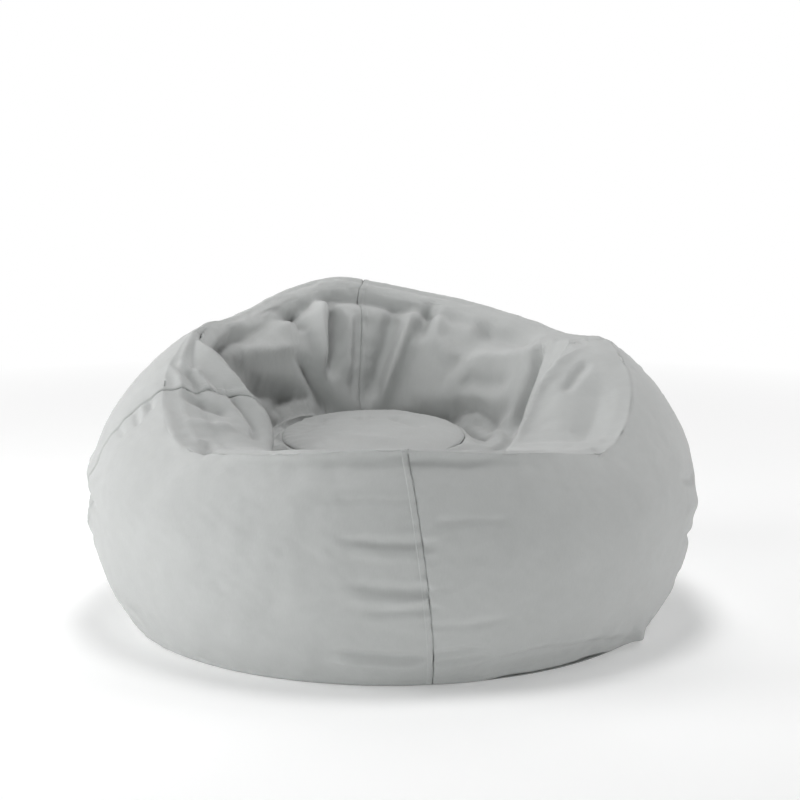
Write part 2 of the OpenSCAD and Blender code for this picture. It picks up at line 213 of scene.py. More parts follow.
FOLDS = [
    # the crisp crests of the front and of the arms
    edge(5, 8, (222, 2), (240, 2), (262, 2), (290, 2), (318, 2)),
    valley(9, 18, (232, 2.2), (250, 2.24), (270, 2.24), (292, 2.24), (310, 2.2)),
    edge(10, 9, (174, 1.92), (176, 2.08), (180, 2.28), (186, 2.4), (196, 2.4), (207, 2.4), (216, 2.45)),
    edge(11, 9, (358, 2.2), (352, 2.34), (345, 2.39), (338, 2.41), (329, 2.4), (316, 2.38)),
    edge(4, 8, (200, 2.01), (212, 2.02), (226, 1.98)),
    edge(4, 9, (352, 2), (342, 2), (332, 2), (320, 2)),
    # right arm
    valley(6, 9, (350, 2.2), (345, 2.25), (339, 2.3)),
    valley(27, 15, (4, 2.48), (356, 2.51), (348, 2.53), (338, 2.56), (330, 2.6)),
    crease(4, 6, (318, 2.06), (315, 1.77)),
    valley(7, 28, (345, 2.15), (332, 2.15), (320, 2.12)),
    ridge(3, 6, (356, 2.06), (4, 2.1)),
    valley(3, 6, (356, 2.14), (5, 2.18)),
    # left arm, puckered where its seam runs over it
    ridge(5, 6, (187, 2), (192, 2.08), (198, 2.1)),
    crease(6, 6, (189, 2.1), (193, 2.15), (199, 2.16)),
    ridge(5, 6, (188, 2.16), (193, 2.2), (197, 2.22)),
    crease(4, 5, (190, 2.24), (194, 2.26), (198, 2.27)),
    edge(6, 7, (186, 2.06), (189, 2.14), (190, 2.24)),
    valley(13, 12, (197, 2.08), (201, 2.16), (206, 2.26)),
    ridge(7, 13, (209, 2.06), (212, 2.14), (212, 2.26)),
    valley(10, 11, (219, 2.1), (226, 2.07), (232, 2)),
    crease(14, 7, (192, 2.31), (200, 2.33), (207, 2.33), (213, 2.32), (220, 2.28)),
    valley(5, 6, (196, 1.73), (201, 1.75)),
    ridge(3, 6, (196, 1.66), (202, 1.68)),
    valley(4, 6, (196, 1.59), (202, 1.6)),
    valley(3, 6, (195, 1.45), (200, 1.47)),
    # back left of the bowl
    valley(13, 10, (168, 1.98), (170, 2.12), (174, 2.28), (179, 2.42), (186, 2.52)),
    ridge(9, 15, (160, 2.43), (150, 2.47), (141, 2.5), (131, 2.53)),
    edge(18, 16, (170, 2.5), (161, 2.55), (151, 2.61), (140, 2.64), (130, 2.68)),
    valley(19, 15, (166, 2.62), (156, 2.7), (146, 2.75), (136, 2.79)),
    valley(19, 13, (134, 2.68), (128, 2.76), (122, 2.83), (116, 2.9), taper=0.4),
    valley(18, 11, (130, 2.45), (129, 2.54), (127, 2.64)),
    ridge(22, 12, (121, 2.8), (120, 2.68), (118, 2.54), (117, 2.4), taper=0.4),
    valley(20, 11, (111, 2.5), (112, 2.62), (114, 2.73), (117, 2.81)),
    ridge(13, 12, (105, 2.56), (105, 2.68), (105, 2.83)),
    valley(8, 8, (101, 2.6), (102, 2.74), (103, 2.86)),
    crease(14, 10, (158, 2.76), (146, 2.77), (134, 2.8), (124, 2.84)),
    ridge(12, 12, (156, 2.84), (144, 2.85), (132, 2.88), (122, 2.92)),
    ridge(3, 7, (119, 2.22), (104, 2.25)),
    valley(3, 7, (117, 2.3), (102, 2.33)),
    # back right of the bowl
    valley(19, 16, (83, 2.42), (84, 2.56), (86, 2.68), (90, 2.79), (92, 2.88)),
    ridge(16, 12, (75, 2.4), (76, 2.52), (79, 2.68), (84, 2.8), (89, 2.9)),
    crease(15, 10, (73, 2.3), (72, 2.46), (71, 2.66)),
    ridge(12, 13, (68, 2.35), (67, 2.5), (64, 2.62), (56, 2.66), (47, 2.65)),
    valley(15, 24, (54, 2.5), (44, 2.5), (34, 2.46), (26, 2.42)),
    edge(12, 16, (52, 2.66), (40, 2.62), (28, 2.57), (16, 2.5), (8, 2.44)),
    valley(9, 15, (48, 2.72), (34, 2.69), (20, 2.64)),
    crease(18, 9, (56, 2.86), (46, 2.8), (34, 2.76), (22, 2.75), (12, 2.8)),
    ridge(8, 10, (48, 2.89), (34, 2.85), (20, 2.84), (10, 2.88)),
    valley(27, 18, (72, 2.92), (56, 2.9), (34, 2.88), (12, 2.88), (-10, 2.91)),
    valley(26, 12, (17, 2.45), (13, 2.53), (10, 2.61), (5, 2.71)),
    # front wall of the bowl
    crease(7, 9, (250, 2.66), (266, 2.7), (284, 2.68)),
    ridge(6, 14, (240, 2.8), (258, 2.84), (290, 2.82)),
    # front wall, with a hollow under its crest
    valley(12, 26, (230, 1.76), (246, 1.74), (262, 1.72), (290, 1.74), (306, 1.78)),
    valley(3, 8, (256, 1.34), (266, 1.36), (277, 1.33)),
    valley(5, 8, (260, 1.1), (269, 1.08), (279, 1.06)),
    ridge(3, 8, (262, 1.02), (277, 0.98)),
    valley(5, 8, (261, 0.83), (269, 0.8), (279, 0.78)),
    ridge(3, 8, (262, 0.73), (278, 0.72)),
    valley(5, 7, (264, 0.65), (272, 0.66), (279, 0.68)),
    valley(6, 6, (258, 0.36), (267, 0.33), (279, 0.3)),
    ridge(5, 7, (257, 0.27), (277, 0.22)),
    valley(6, 7, (276, 0.32), (282, 0.34), (288, 0.37)),
    valley(5, 6, (276, 0.24), (283, 0.27), (290, 0.3)),
    valley(3, 7, (276, 0.56), (284, 0.55), (292, 0.58)),
    valley(3, 8, (275, 1.2), (284, 1.22), (292, 1.2)),
    # the bottom right, where the wall is tucked in over the base
    crease(7, 8, (277, 0.04), (287, 0.18), (297, 0.27), (311, 0.22), (332, 0.06)),
    edge(5, 8, (279, 0.16), (288, 0.27), (298, 0.35), (312, 0.32), (328, 0.2)),
    valley(10, 22, (286, 0.05), (298, 0.12), (312, 0.1), (324, 0.03)),
    edge(13, 11, (336, -0.1), (333, 0.06), (329, 0.16), (325, 0.28)),
    crease(4, 7, (341, 0.02), (336, 0.14), (332, 0.26)),
    # sides
    ridge(5, 11, (176, 1.12), (188, 1.12), (198, 1.1)),
    valley(6, 8, (178, 0.98), (190, 0.99), (202, 0.98)),
    ridge(5, 11, (176, 0.86), (190, 0.82), (200, 0.82)),
    ridge(5, 10, (198, 0.5), (206, 0.46), (212, 0.36)),
    valley(5, 8, (194, 0.4), (204, 0.34), (210, 0.26)),
    valley(6, 10, (336, 1.18), (346, 1.1), (354, 1.08)),
    ridge(5, 12, (338, 0.98), (348, 0.95), (356, 0.94)),
    valley(6, 9, (340, 0.8), (350, 0.72), (358, 0.7)),
    valley(5, 9, (342, 0.5), (350, 0.42), (357, 0.4)),
    valley(6, 10, (24, 1.2), (12, 1.1), (3, 1.14)),
    ridge(5, 12, (26, 1), (12, 0.95), (3, 1)),
    valley(5, 9, (20, 0.5), (9, 0.42), (1, 0.46)),
    # back wall
    valley(9, 13, (94, 1.8), (92, 1.5), (85, 1.15)),
    ridge(8, 15, (106, 1.85), (108, 1.5), (112, 1.2)),
    valley(9, 12, (124, 1.88), (129, 1.6), (137, 1.3)),
    ridge(7, 14, (140, 1.9), (144, 1.6), (152, 1.3)),
    valley(7, 10, (153, 1.78), (157, 1.45), (163, 1.15)),
    ridge(6, 12, (74, 1.8), (72, 1.5), (66, 1.25)),
    valley(8, 11, (62, 1.85), (57, 1.5), (49, 1.2)),
    crease(7, 10, (32, 1.92), (25, 1.6), (19, 1.25)),
    valley(5, 8, (90, 1.02), (98, 1), (108, 1.03)),
    valley(5, 8, (88, 0.8), (99, 0.78), (108, 0.82)),
    valley(7, 9, (78, 0.55), (90, 0.44), (106, 0.5)),
    ridge(6, 10, (76, 0.4), (92, 0.32), (110, 0.38)),
    valley(6, 8, (26, 0.5), (40, 0.38), (56, 0.44)),
    ridge(5, 9, (28, 0.36), (42, 0.26), (54, 0.3)),
    valley(6, 8, (122, 0.55), (138, 0.42), (154, 0.48)),
    ridge(5, 9, (124, 0.4), (138, 0.3), (152, 0.34)),
    # seat disc
    valley(5, 14, (196, 3.15), (168, 3.35), (140, 3.35)),
    valley(5, 9, (124, 3.6), (112, 3.75), (92, 3.65)),
    valley(6, 10, (62, 3.6), (36, 3.66), (14, 3.6), (-8, 3.45)),
    ridge(3, 12, (84, 3.25), (50, 3.3), (20, 3.25)),
    ridge(3, 14, (215, 3.5), (262, 3.55), (310, 3.4)),
    valley(9, 9, (206, 2.95), (176, 2.94), (146, 2.95), (112, 2.95), (86, 2.95)),
]


def path_points(path):
    """Evenly spaced points on the plain cover along a fold's path, and how far along each lies."""
    path = np.array(path, float)
    fine = np.linspace(0, len(path) - 1, 200)
    line = spots(fine, range(len(path)), path)
    kernel = np.hanning(41)
    padded = np.pad(line, ((20, 20), (0, 0)), mode="edge")
    line = np.stack([np.convolve(padded[:, c], kernel / kernel.sum(), "valid") for c in (0, 1)], -1)
    points = surface(line[:, 0], line[:, 1])
    along = run(points)
    even = np.linspace(0, along[-1], max(int(along[-1] / PATH_STEP), 4))
    return spots(even, along, points), even / along[-1]


def fold_height(points):
    """How far the placed folds lift each point of the plain cover, in metres."""
    flat = points.reshape(-1, 3)
    height = np.zeros(len(flat))
    for size, sharp, width, path, taper in FOLDS:
        line, share = path_points(path)
        reach = 4 * width * MM
        near = np.where(((flat > line.min(0) - reach) & (flat < line.max(0) + reach)).all(1))[0]
        if not len(near):
            continue
        gap = ((flat[near][:, None] - line[None]) ** 2).sum(-1)
        closest = gap.argmin(1)
        wide = width * MM * (1 + taper * (2 * share[closest] - 1))
        d = np.sqrt(gap[np.arange(len(near)), closest]) / wide
        fade = smooth(np.minimum(share, 1 - share)[closest] / 0.3 + 0.12)
        shape = np.exp(-(np.sqrt(d ** 2 + 0.06) - 0.24) * 1.1) if sharp else np.exp(-d ** 2)
        height[near] += size * MM * fade * shape
    return height.reshape(points.shape[:-1])


# ------------------------ cloth simulation

def mesh_object(name, points, faces):
    mesh = bpy.data.meshes.new(name)
    mesh.from_pydata(np.asarray(points, float).reshape(-1, 3).tolist(), [], [list(f) for f in faces])
    mesh.validate()
    obj = bpy.data.objects.new(name, mesh)
    scene.collection.objects.link(obj)
    return obj


def spread(*spans):
    """Even steps through spans given as (first, end, count), each without its end."""
    return np.concatenate([np.linspace(*span, endpoint=False) for span in spans])


COLUMNS = 240
SETTLING_FRAMES = 24
MOST_MOVED = 0.018
SIM_ROWS = np.concatenate([spread((0, 1, 20), (1, 2, 28)), np.linspace(2, 3, 34), np.linspace(3, 3.9, 9)[1:]])


def grid_faces(rows, columns, wrap=False):
    """Quads of a grid with rings down and azimuth across, facing out."""
    r, c = np.meshgrid(np.arange(rows - 1), np.arange(columns if wrap else columns - 1), indexing="ij")
    a = r * columns + c
    b = r * columns + (c + 1) % columns
    return np.stack([a, b, b + columns, a + columns], -1).reshape(-1, 4).tolist()


def fan(start, count, middle, flip=False):
    """Triangles from a closed row of points, whose first is start, to one in its middle."""
    pairs = [(start + i, start + (i + 1) % count) for i in range(count)]
    return [[b, a, middle] if flip else [a, b, middle] for a, b in pairs]


def closed(name, rings, middle, bottom=None):
    """A piece of closed rings that a fan closes in its middle and, where one is given, at its bottom."""
    rows, columns = rings.shape[:2]
    ends = [middle] if bottom is None else [bottom, middle]
    points = np.concatenate([rings.reshape(-1, 3), ends])
    faces = grid_faces(rows, columns, True)
    if bottom is not None:
        faces += fan(0, columns, rows * columns, True)
    faces += fan((rows - 1) * columns, columns, len(points) - 1)
    return mesh_object(name, points, faces), points


def settle(start, rows):
    """Runs Blender's cloth on the whole cover, held softly to its shape with a little spare cloth,
    and returns how far each point of the grid moves."""
    n = len(rows) * COLUMNS
    bottom = np.concatenate([start[0] * (k, k, 1) for k in (0.75, 0.5, 0.25)])
    top = np.array([[DISC_X, 0, DISC_Z + DISC_CROWN], [0, 0, 0]])
    points = np.concatenate([start.reshape(-1, 3), bottom, top])
    faces = grid_faces(len(rows), COLUMNS, True)
    faces += fan(n - COLUMNS, COLUMNS, n + 3 * COLUMNS)
    below = [[i, *(n + k * COLUMNS + i for k in range(3))] for i in range(COLUMNS)]
    for i in range(COLUMNS):
        here, after = below[i], below[(i + 1) % COLUMNS]
        faces += [[after[k], here[k], here[k + 1], after[k + 1]] for k in range(3)]
        faces.append([after[3], here[3], n + 3 * COLUMNS + 1])
    obj = mesh_object("settling", points, faces)
    s = np.repeat(rows, COLUMNS)
    panel = COLUMNS // 4
    from_seam = np.abs((np.arange(COLUMNS) + panel // 2) % panel - panel // 2)
    near_seam = np.tile(from_seam < 2, len(rows))
    bowl = smooth((s - 2.15) / 0.3) * smooth((3.05 - s) / 0.1)
    at_base, at_disc = s < 0.06, np.abs(s - 3) < 0.03
    hold = np.clip(0.16 - 0.10 * bowl + 0.25 * near_seam + 0.6 * at_base + 0.4 * at_disc, 0, 0.9)
    spare = np.clip(0.35 + 0.65 * bowl - 0.2 * (s > 3.05), 0, 1)
    held, loose = obj.vertex_groups.new(name="held"), obj.vertex_groups.new(name="loose")
    for i in range(n):
        held.add([i], float(hold[i]), "REPLACE")
        loose.add([i], float(spare[i]), "REPLACE")
    held.add(list(range(n, len(points) - 2)) + [len(points) - 1], 1.0, "REPLACE")
    held.add([len(points) - 2], 0.2, "REPLACE")
    cloth = obj.modifiers.new("cloth", "CLOTH")
    settings = cloth.settings
    wanted = dict(quality=5, mass=0.2, air_damping=4, tension_stiffness=20, compression_stiffness=20,
                  shear_stiffness=8, bending_stiffness=0.6, tension_damping=10, compression_damping=10,
                  shear_damping=10, vertex_group_mass="held", pin_stiffness=1.0,
                  vertex_group_shrink="loose", shrink_min=0.0, shrink_max=-0.09,
                  use_pressure=True, uniform_pressure_force=1.0)
    for key, value in wanted.items():
        setattr(settings, key, value)
    settings.effector_weights.gravity = 0
    cloth.collision_settings.use_collision = False
    cloth.collision_settings.use_self_collision = False
    cloth.point_cache.frame_start = 1
    cloth.point_cache.frame_end = SETTLING_FRAMES
    for frame_number in range(1, SETTLING_FRAMES + 1):
        scene.frame_set(frame_number)
    depsgraph = bpy.context.evaluated_depsgraph_get()
    result = obj.evaluated_get(depsgraph).to_mesh()
    moved = np.empty(len(points) * 3, np.float32)
    result.vertices.foreach_get("co", moved)
    moved = moved.reshape(-1, 3)[:n].reshape(start.shape) - start
    data = obj.data
    bpy.data.objects.remove(obj)
    bpy.data.meshes.remove(data)
    scene.frame_set(1)
    length = np.linalg.norm(moved, axis=-1, keepdims=True)
    return moved * (MOST_MOVED * np.tanh(length / MOST_MOVED) / np.maximum(length, 1e-9))


def cubic(t):
    return np.stack([-t ** 3 + 2 * t ** 2 - t, 3 * t ** 3 - 5 * t ** 2 + 2,
                     -3 * t ** 3 + 4 * t ** 2 + t, t ** 3 - t ** 2]) / 2


def sample(field, u, s):
    """Value of a field on the simulation's grid at any u and s, smoothly."""
    column = (u / 4 * COLUMNS) % COLUMNS
    row = np.interp(s, SIM_ROWS, np.arange(len(SIM_ROWS)))
    c0, r0 = np.floor(column).astype(int), np.floor(row).astype(int)
    wc, wr = cubic(column - c0), cubic(row - r0)
    total = 0
    for i in range(4):
        r = np.clip(r0 + i - 1, 0, len(SIM_ROWS) - 1)
        across = sum(wc[j][..., None] * field[r, (c0 + j - 1) % COLUMNS] for j in range(4))
        total = total + wr[i][..., None] * across
    return total


sim_u, sim_s = np.meshgrid(np.arange(COLUMNS) / COLUMNS * 4, SIM_ROWS)
# the folds are raised along evened-out normals, so that deep ones stay open beside sharp corners
LIFT_WAY = normals_of(surface(azimuth(sim_u, sim_s), sim_s), True)
for _ in range(14):
    for neighbours in (beside_rows, beside_columns):
        one, other = neighbours(LIFT_WAY)
        LIFT_WAY = unit(one + 2 * LIFT_WAY + other)


def folded(u, s):
    """Points of the cover with its placed folds, and the ways in which the folds rise."""
    plain = surface(azimuth(u, s), s)
    way = unit(sample(LIFT_WAY, u, s))
    return plain + way * fold_height(plain)[..., None], way


sim_start, _ = folded(sim_u, sim_s)
SHIFT = settle(sim_start, SIM_ROWS)
SHIFT[..., 2] = np.where(sim_s < 0.1, np.maximum(SHIFT[..., 2], 0), SHIFT[..., 2])


def settled(u, s):
    """Points of the finished cover, without the seams' own detail, and the ways its folds rise."""
    points, way = folded(u, s)
    points = points + sample(SHIFT, u, s)
    points[..., 2] = np.maximum(points[..., 2], 0)
    return points, way


# ------------------------ panels

# how far from its seam each column of a panel lies, on the side with the lap and on the plain side;
# the two rows of stitches run down the lap, in millimetres from the seam
LAP = np.array([0, 0.5, 1, 1.5, 1.9, 2.4, 3.5, 5, 6.5, 7.2, 7.6, 8.1, 8.7, 9.1, 9.6,
                10.5, 12.5, 15.5, 19]) * MM
PLAIN = np.array([0, .6, 1.3, 2.3, 3.8, 6, 9, 13]) * MM
STITCH_ROWS = (1.9, 7.6)
MIDDLE = 150
ALMOST_1 = 0.999999
ROWS = np.concatenate([spread((0, 1, 70), (1, 2, 90), (2, 2.9, 72)), 3 - 0.1 * np.linspace(1, 0, 14) ** 1.6])
PANELS = ["panel_front_right", "panel_back_right", "panel_back_left", "panel_front_left"]
THREADS = ["thread_front", "thread_right", "thread_back", "thread_left"]


def seam_gap(points, k):
    """How far each point lies from seam k, and how far along the seam its nearest point is."""
    s = np.linspace(0, 3, 400)
    line = surface(seam_azimuth(k, s), s)
    along = run(line)
    gap, nearest = np.empty((2, *points.shape[:-1]))
    for r in range(points.shape[0]):
        middle = int(ROWS[r] / 3 * 399)
        part = slice(max(middle - 40, 0), middle + 41)
        d = np.linalg.norm(points[r][:, None] - line[part][None], axis=-1)
        i = d.argmin(1)
        gap[r], nearest[r] = d[np.arange(len(i)), i], along[part][i]
    return gap, nearest


def panel_grid(k):
    """u and s of a panel's grid, closer together beside its two seams."""
    fine = np.linspace(0, 1, 160)
    u = np.empty((len(ROWS), len(PLAIN) + MIDDLE + len(LAP)))
    for r, s in enumerate(ROWS):
        line = surface(azimuth(k + fine * ALMOST_1, s), s)
        along = run(line)
        whole = along[-1]
        middle = np.linspace(PLAIN[-1], whole - LAP[-1], MIDDLE + 2)[1:-1]
        u[r] = np.interp(np.concatenate([PLAIN, middle, whole - LAP[::-1]]), along, fine)
    return k + np.minimum(u, ALMOST_1), np.repeat(ROWS[:, None], u.shape[1], 1)


def grid_of(x, y, z):
    return np.stack(np.broadcast_arrays(x, y, z), -1)


def bump(d, middle, width):
    return np.exp(-((d - middle) / width) ** 2)


def build_panel(k):
    u, s = panel_grid(k)
    points, _ = settled(u, s)
    normal = normals_of(points)
    plain = surface(azimuth(u, s), s)
    first, last = slice(0, len(PLAIN) + 6), slice(-len(LAP) - 8, None)
    lift, wear = np.zeros((2, *u.shape))
    for side, seam in ((first, k), (last, k + 1)):
        d, along = seam_gap(plain[:, side], seam)
        mm = d / MM
        seam_lift = -2.2 * np.exp(-mm / 1.2) - 0.8 * np.exp(-mm / 6)
        if seam == k + 1:
            seam_lift += 0.9 * smooth((mm - 0.5) / 0.6) * smooth((9.2 - mm) / 0.6)
            seam_lift -= 0.35 * sum(bump(mm, row, 0.5) for row in STITCH_ROWS)
            wear[:, side] = bump(mm, 8.8, 0.9) + 0.6 * bump(mm, 0.9, 0.7)
        place = grid_of(along, d * 0.25, seam * 0.37)
        strength = 0.9 + 0.9 * smooth((s[:, side] - 2.2) / 0.3)
        puckers = waves(place, 0.018, 40 + seam % 4, 14)
        seam_lift += strength * puckers * np.exp(-mm / 20) * smooth((mm + 1) / 3)
        lift[:, side] += seam_lift * MM
    height = rise(plain)
    to_disc = (height[-1] - height)[:, None] / MM
    lift += MM * (-1.8 * np.exp(-to_disc / 1.5) - 1.5 * np.exp(-to_disc / 9))
    around_disc = grid_of(np.radians(azimuth(u, s)) * DISC_R, to_disc * MM * 0.3, 0)
    lift += MM * 0.9 * waves(around_disc, 0.02, 51, 14) * np.exp(-to_disc / 14) * smooth(to_disc / 3)
    up = height[:, None] / MM
    lift += MM * (0.9 * smooth((8.5 - up) / 1.2) - 0.4 * bump(up, 5, 0.7) - 0.5 * bump(up, 10, 2.5))
    lift += MM * (0.55 * waves(plain, 0.06, 7) + 0.28 * waves(plain, (0.03, 0.03, 0.022), 8))
    gathers = waves(plain * (1, 1, 0.35), 0.045, 9)
    lift += MM * 1.3 * gathers * np.exp(-up / 45) * smooth((up - 6) / 16)
    points = points + normal * lift[..., None]
    points[..., 2] = np.maximum(points[..., 2], 0)
    obj = mesh_object(PANELS[k] + "_soft", points, grid_faces(*u.shape))
    set_grain(obj, points, wear)
    return obj


FLAT = (1, 1, 0)


def store_grain(obj, grain):
    attribute = obj.data.attributes.new("grain", "FLOAT_VECTOR", "POINT")
    attribute.data.foreach_set("vector", grain.astype(np.float32).ravel())


def set_grain(obj, points, wear=None):
    """Stores where each point lies in the cloth, in metres along the weft and the warp."""
    across = np.concatenate([np.zeros((points.shape[0], 1)),
                             np.cumsum(np.linalg.norm(np.diff(points, axis=1), axis=-1), 1)], 1)
    across -= across[:, points.shape[1] // 2:points.shape[1] // 2 + 1]
    store_grain(obj, grid_of(across, rise(points)[:, None], 0))
    if wear is not None:
        attribute = obj.data.attributes.new("wear", "FLOAT", "POINT")
        attribute.data.foreach_set("value", np.clip(wear, 0, 1).astype(np.float32).ravel())


def finish_piece(obj, node, slot, body="bag", thickness=None, sink=True, fill=None, stands_at=0):
    for polygon in obj.data.polygons:
        polygon.use_smooth = True
    obj.data.materials.clear()
    obj.data.materials.append(MATERIALS[slot])
    if thickness:
        solid = obj.modifiers.new("thickness", "SOLIDIFY")
        solid.thickness = abs(thickness)
        solid.offset = -1 if thickness > 0 else 1
        solid.use_rim = True
    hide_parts(node)
    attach(obj, body)
    if sink:
        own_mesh(obj)


# ------------------------ materials

def node_material(name):
    material = bpy.data.materials.new(name)
    material.use_nodes = True
    tree = material.node_tree
    tree.nodes.clear()
    output = tree.nodes.new("ShaderNodeOutputMaterial")
    shader = tree.nodes.new("ShaderNodeBsdfPrincipled")
    tree.links.new(shader.outputs[0], output.inputs[0])
    return material, tree, shader


def feed(tree, node, inputs):
    """Links sockets to a node's inputs and sets plain values directly."""
    for key, value in inputs.items():
        if isinstance(value, bpy.types.NodeSocket):
            tree.links.new(value, node.inputs[key])
        else:
            node.inputs[key].default_value = value


def add(tree, kind, inputs=None, **properties):
    made = tree.nodes.new(kind)
    for key, value in properties.items():
        setattr(made, key, value)
    feed(tree, made, inputs or {})
    return made


def math_node(tree, operation, a, b):
    return add(tree, "ShaderNodeMath", {0: a, 1: b}, operation=operation).outputs[0]


def ramp(tree, value, low, high, to_low=0.0, to_high=1.0):
    made = add(tree, "ShaderNodeMapRange", {0: value, 1: low, 2: high, 3: to_low, 4: to_high})
    return made.outputs[0]


def object_place(tree):
    return add(tree, "ShaderNodeTexCoord").outputs["Object"]


def bump_node(tree, height, distance, strength, invert=False, **more):
    inputs = {"Height": height, "Distance": distance, "Strength": strength, **more}
    return add(tree, "ShaderNodeBump", inputs, invert=invert).outputs[0]


def wave_node(tree, direction, inputs):
    return add(tree, "ShaderNodeTexWave", inputs, wave_type="BANDS", bands_direction=direction).outputs["Fac"]


def noise(tree, vector, scale, detail=3.0, roughness=0.55):
    made = add(tree, "ShaderNodeTexNoise", {"Vector": vector, "Scale": scale, "Detail": detail,
                                            "Roughness": roughness})
    return made.outputs[0]


def tint(tree, factor, low, high):
    return add(tree, "ShaderNodeMix", {0: factor, 6: (*low, 1), 7: (*high, 1)}, data_type="RGBA").outputs[2]


def cloth_material(name, low, high, pitch, depth, sheen, roughness):
    """Woven cloth: a diagonal twill over single yarns, slubs, soft blotches and paler worn edges."""
    material, tree, shader = node_material(name)
    grain = add(tree, "ShaderNodeAttribute", attribute_name="grain").outputs["Vector"]
    wear = add(tree, "ShaderNodeAttribute", attribute_name="wear").outputs["Fac"]
    place = object_place(tree)
    twill = wave_node(tree, "DIAGONAL", {"Vector": grain, "Scale": 0.444 / pitch, "Distortion": 0.4,
                                         "Detail": 1.0, "Detail Scale": 2.0})
    yarn = wave_node(tree, "X", {"Vector": grain, "Scale": 0.314 / (pitch * 0.45), "Distortion": 0.3})
    stretched = add(tree, "ShaderNodeMapping", {"Vector": grain, "Scale": (1.0, 0.12, 1.0)}).outputs[0]
    slub = noise(tree, stretched, 700.0, 2.0)
    blotch = noise(tree, place, 7.0, 4.0, 0.6)
    mottle = noise(tree, place, 60.0, 3.0, 0.6)
    weave = math_node(tree, "MULTIPLY", math_node(tree, "ADD", twill, yarn), 0.5)
    tone = ramp(tree, blotch, 0.35, 0.65, 0.0, 0.25)
    for layer, low_end, high_end, share in ((mottle, 0.3, 0.7, 0.15), (slub, 0.3, 0.7, 0.2),
                                            (weave, 0.2, 0.8, 0.2), (wear, 0.0, 1.0, 0.35)):
        tone = math_node(tree, "ADD", tone, ramp(tree, layer, low_end, high_end, 0.0, share))
    rough = ramp(tree, mottle, 0.3, 0.7, roughness - 0.05, roughness + 0.03)
    fine = math_node(tree, "ADD", weave, math_node(tree, "MULTIPLY", slub, 0.6))
    small = bump_node(tree, fine, depth, 0.7)
    wide = bump_node(tree, mottle, 0.0009, 0.5, Normal=small)
    feed(tree, shader, {"Base Color": tint(tree, tone, low, high), "Roughness": rough,
                        "Normal": wide, "Sheen Weight": sheen, "Sheen Roughness": 0.45,
                        "Specular IOR Level": 0.25})
    return material


def thread_material(name, low, high):
    """Twisted thread: fine diagonal plies and slight fuzz."""
    material, tree, shader = node_material(name)
    place = object_place(tree)
    ply = wave_node(tree, "DIAGONAL", {"Vector": place, "Scale": 900.0, "Distortion": 1.0})
    fuzz = noise(tree, place, 900.0, 2.0)
    blotch = noise(tree, place, 25.0, 2.0)
    plies = math_node(tree, "MULTIPLY", ply, 0.4)
    tone = math_node(tree, "ADD", plies, ramp(tree, blotch, 0.3, 0.7, 0.0, 0.6))
    height = math_node(tree, "ADD", ply, math_node(tree, "MULTIPLY", fuzz, 0.5))
    feed(tree, shader, {"Base Color": tint(tree, tone, low, high),
                        "Roughness": ramp(tree, fuzz, 0.3, 0.7, 0.5, 0.7),
                        "Normal": bump_node(tree, height, 0.00012, 0.8), "Sheen Weight": 0.2})
    return material


def plastic_material(name, low, high, roughness):
    """Nylon coil: smooth, slightly translucent and scuffed."""
    material, tree, shader = node_material(name)
    place = object_place(tree)
    blotch = noise(tree, place, 80.0, 3.0)
    scuff = noise(tree, place, 1400.0, 3.0, 0.7)
    rough = ramp(tree, scuff, 0.35, 0.65, roughness - 0.08, roughness + 0.12)
    feed(tree, shader, {"Base Color": tint(tree, ramp(tree, blotch, 0.3, 0.7), low, high),
                        "Roughness": rough, "Normal": bump_node(tree, scuff, 0.00005, 0.5),
                        "Subsurface Weight": 0.05, "Subsurface Radius": (0.002, 0.002, 0.002)})
    return material


def metal_material(name):
    """Satin nickel plate, tumbled, with fine scratches and duller rubbed patches."""
    material, tree, shader = node_material(name)
    place = object_place(tree)
    long_grain = add(tree, "ShaderNodeMapping", {"Vector": place, "Scale": (0.1, 1.0, 1.0)}).outputs[0]
    scratch = noise(tree, long_grain, 5000.0, 3.0, 0.7)
    patch = noise(tree, place, 300.0, 3.0)
    colour = tint(tree, ramp(tree, patch, 0.3, 0.7), (0.48, 0.47, 0.45), (0.62, 0.61, 0.6))
    rubbed = math_node(tree, "ADD", *(math_node(tree, "MULTIPLY", part, 0.5) for part in (scratch, patch)))
    feed(tree, shader, {"Base Color": colour, "Roughness": ramp(tree, rubbed, 0.3, 0.7, 0.22, 0.42),
                        "Normal": bump_node(tree, scratch, 0.00003, 0.5), "Metallic": 1.0})
    return material


def bead_material(name):
    """Loose white expanded beads, drawn as packed round cells, each greyer towards its edge as painted shade
    between the beads.
    """
    material, tree, shader = node_material(name)
    place = object_place(tree)
    cells = add(tree, "ShaderNodeTexVoronoi", {"Vector": place, "Scale": 260.0})
    skin = noise(tree, place, 2500.0, 2.0)
    # painted shade: the white goes grey towards each cell's edge, where the beads meet
    painted_gap_shade = ramp(tree, cells.outputs["Distance"], 0.2, 0.75, 1.0, 0.0)
    feed(tree, shader, {"Base Color": tint(tree, painted_gap_shade, (0.5, 0.5, 0.49), (0.86, 0.86, 0.85)),
                        "Roughness": ramp(tree, skin, 0.3, 0.7, 0.55, 0.75),
                        "Normal": bump_node(tree, cells.outputs["Distance"], 0.003, 1.0, invert=True)})
    return material


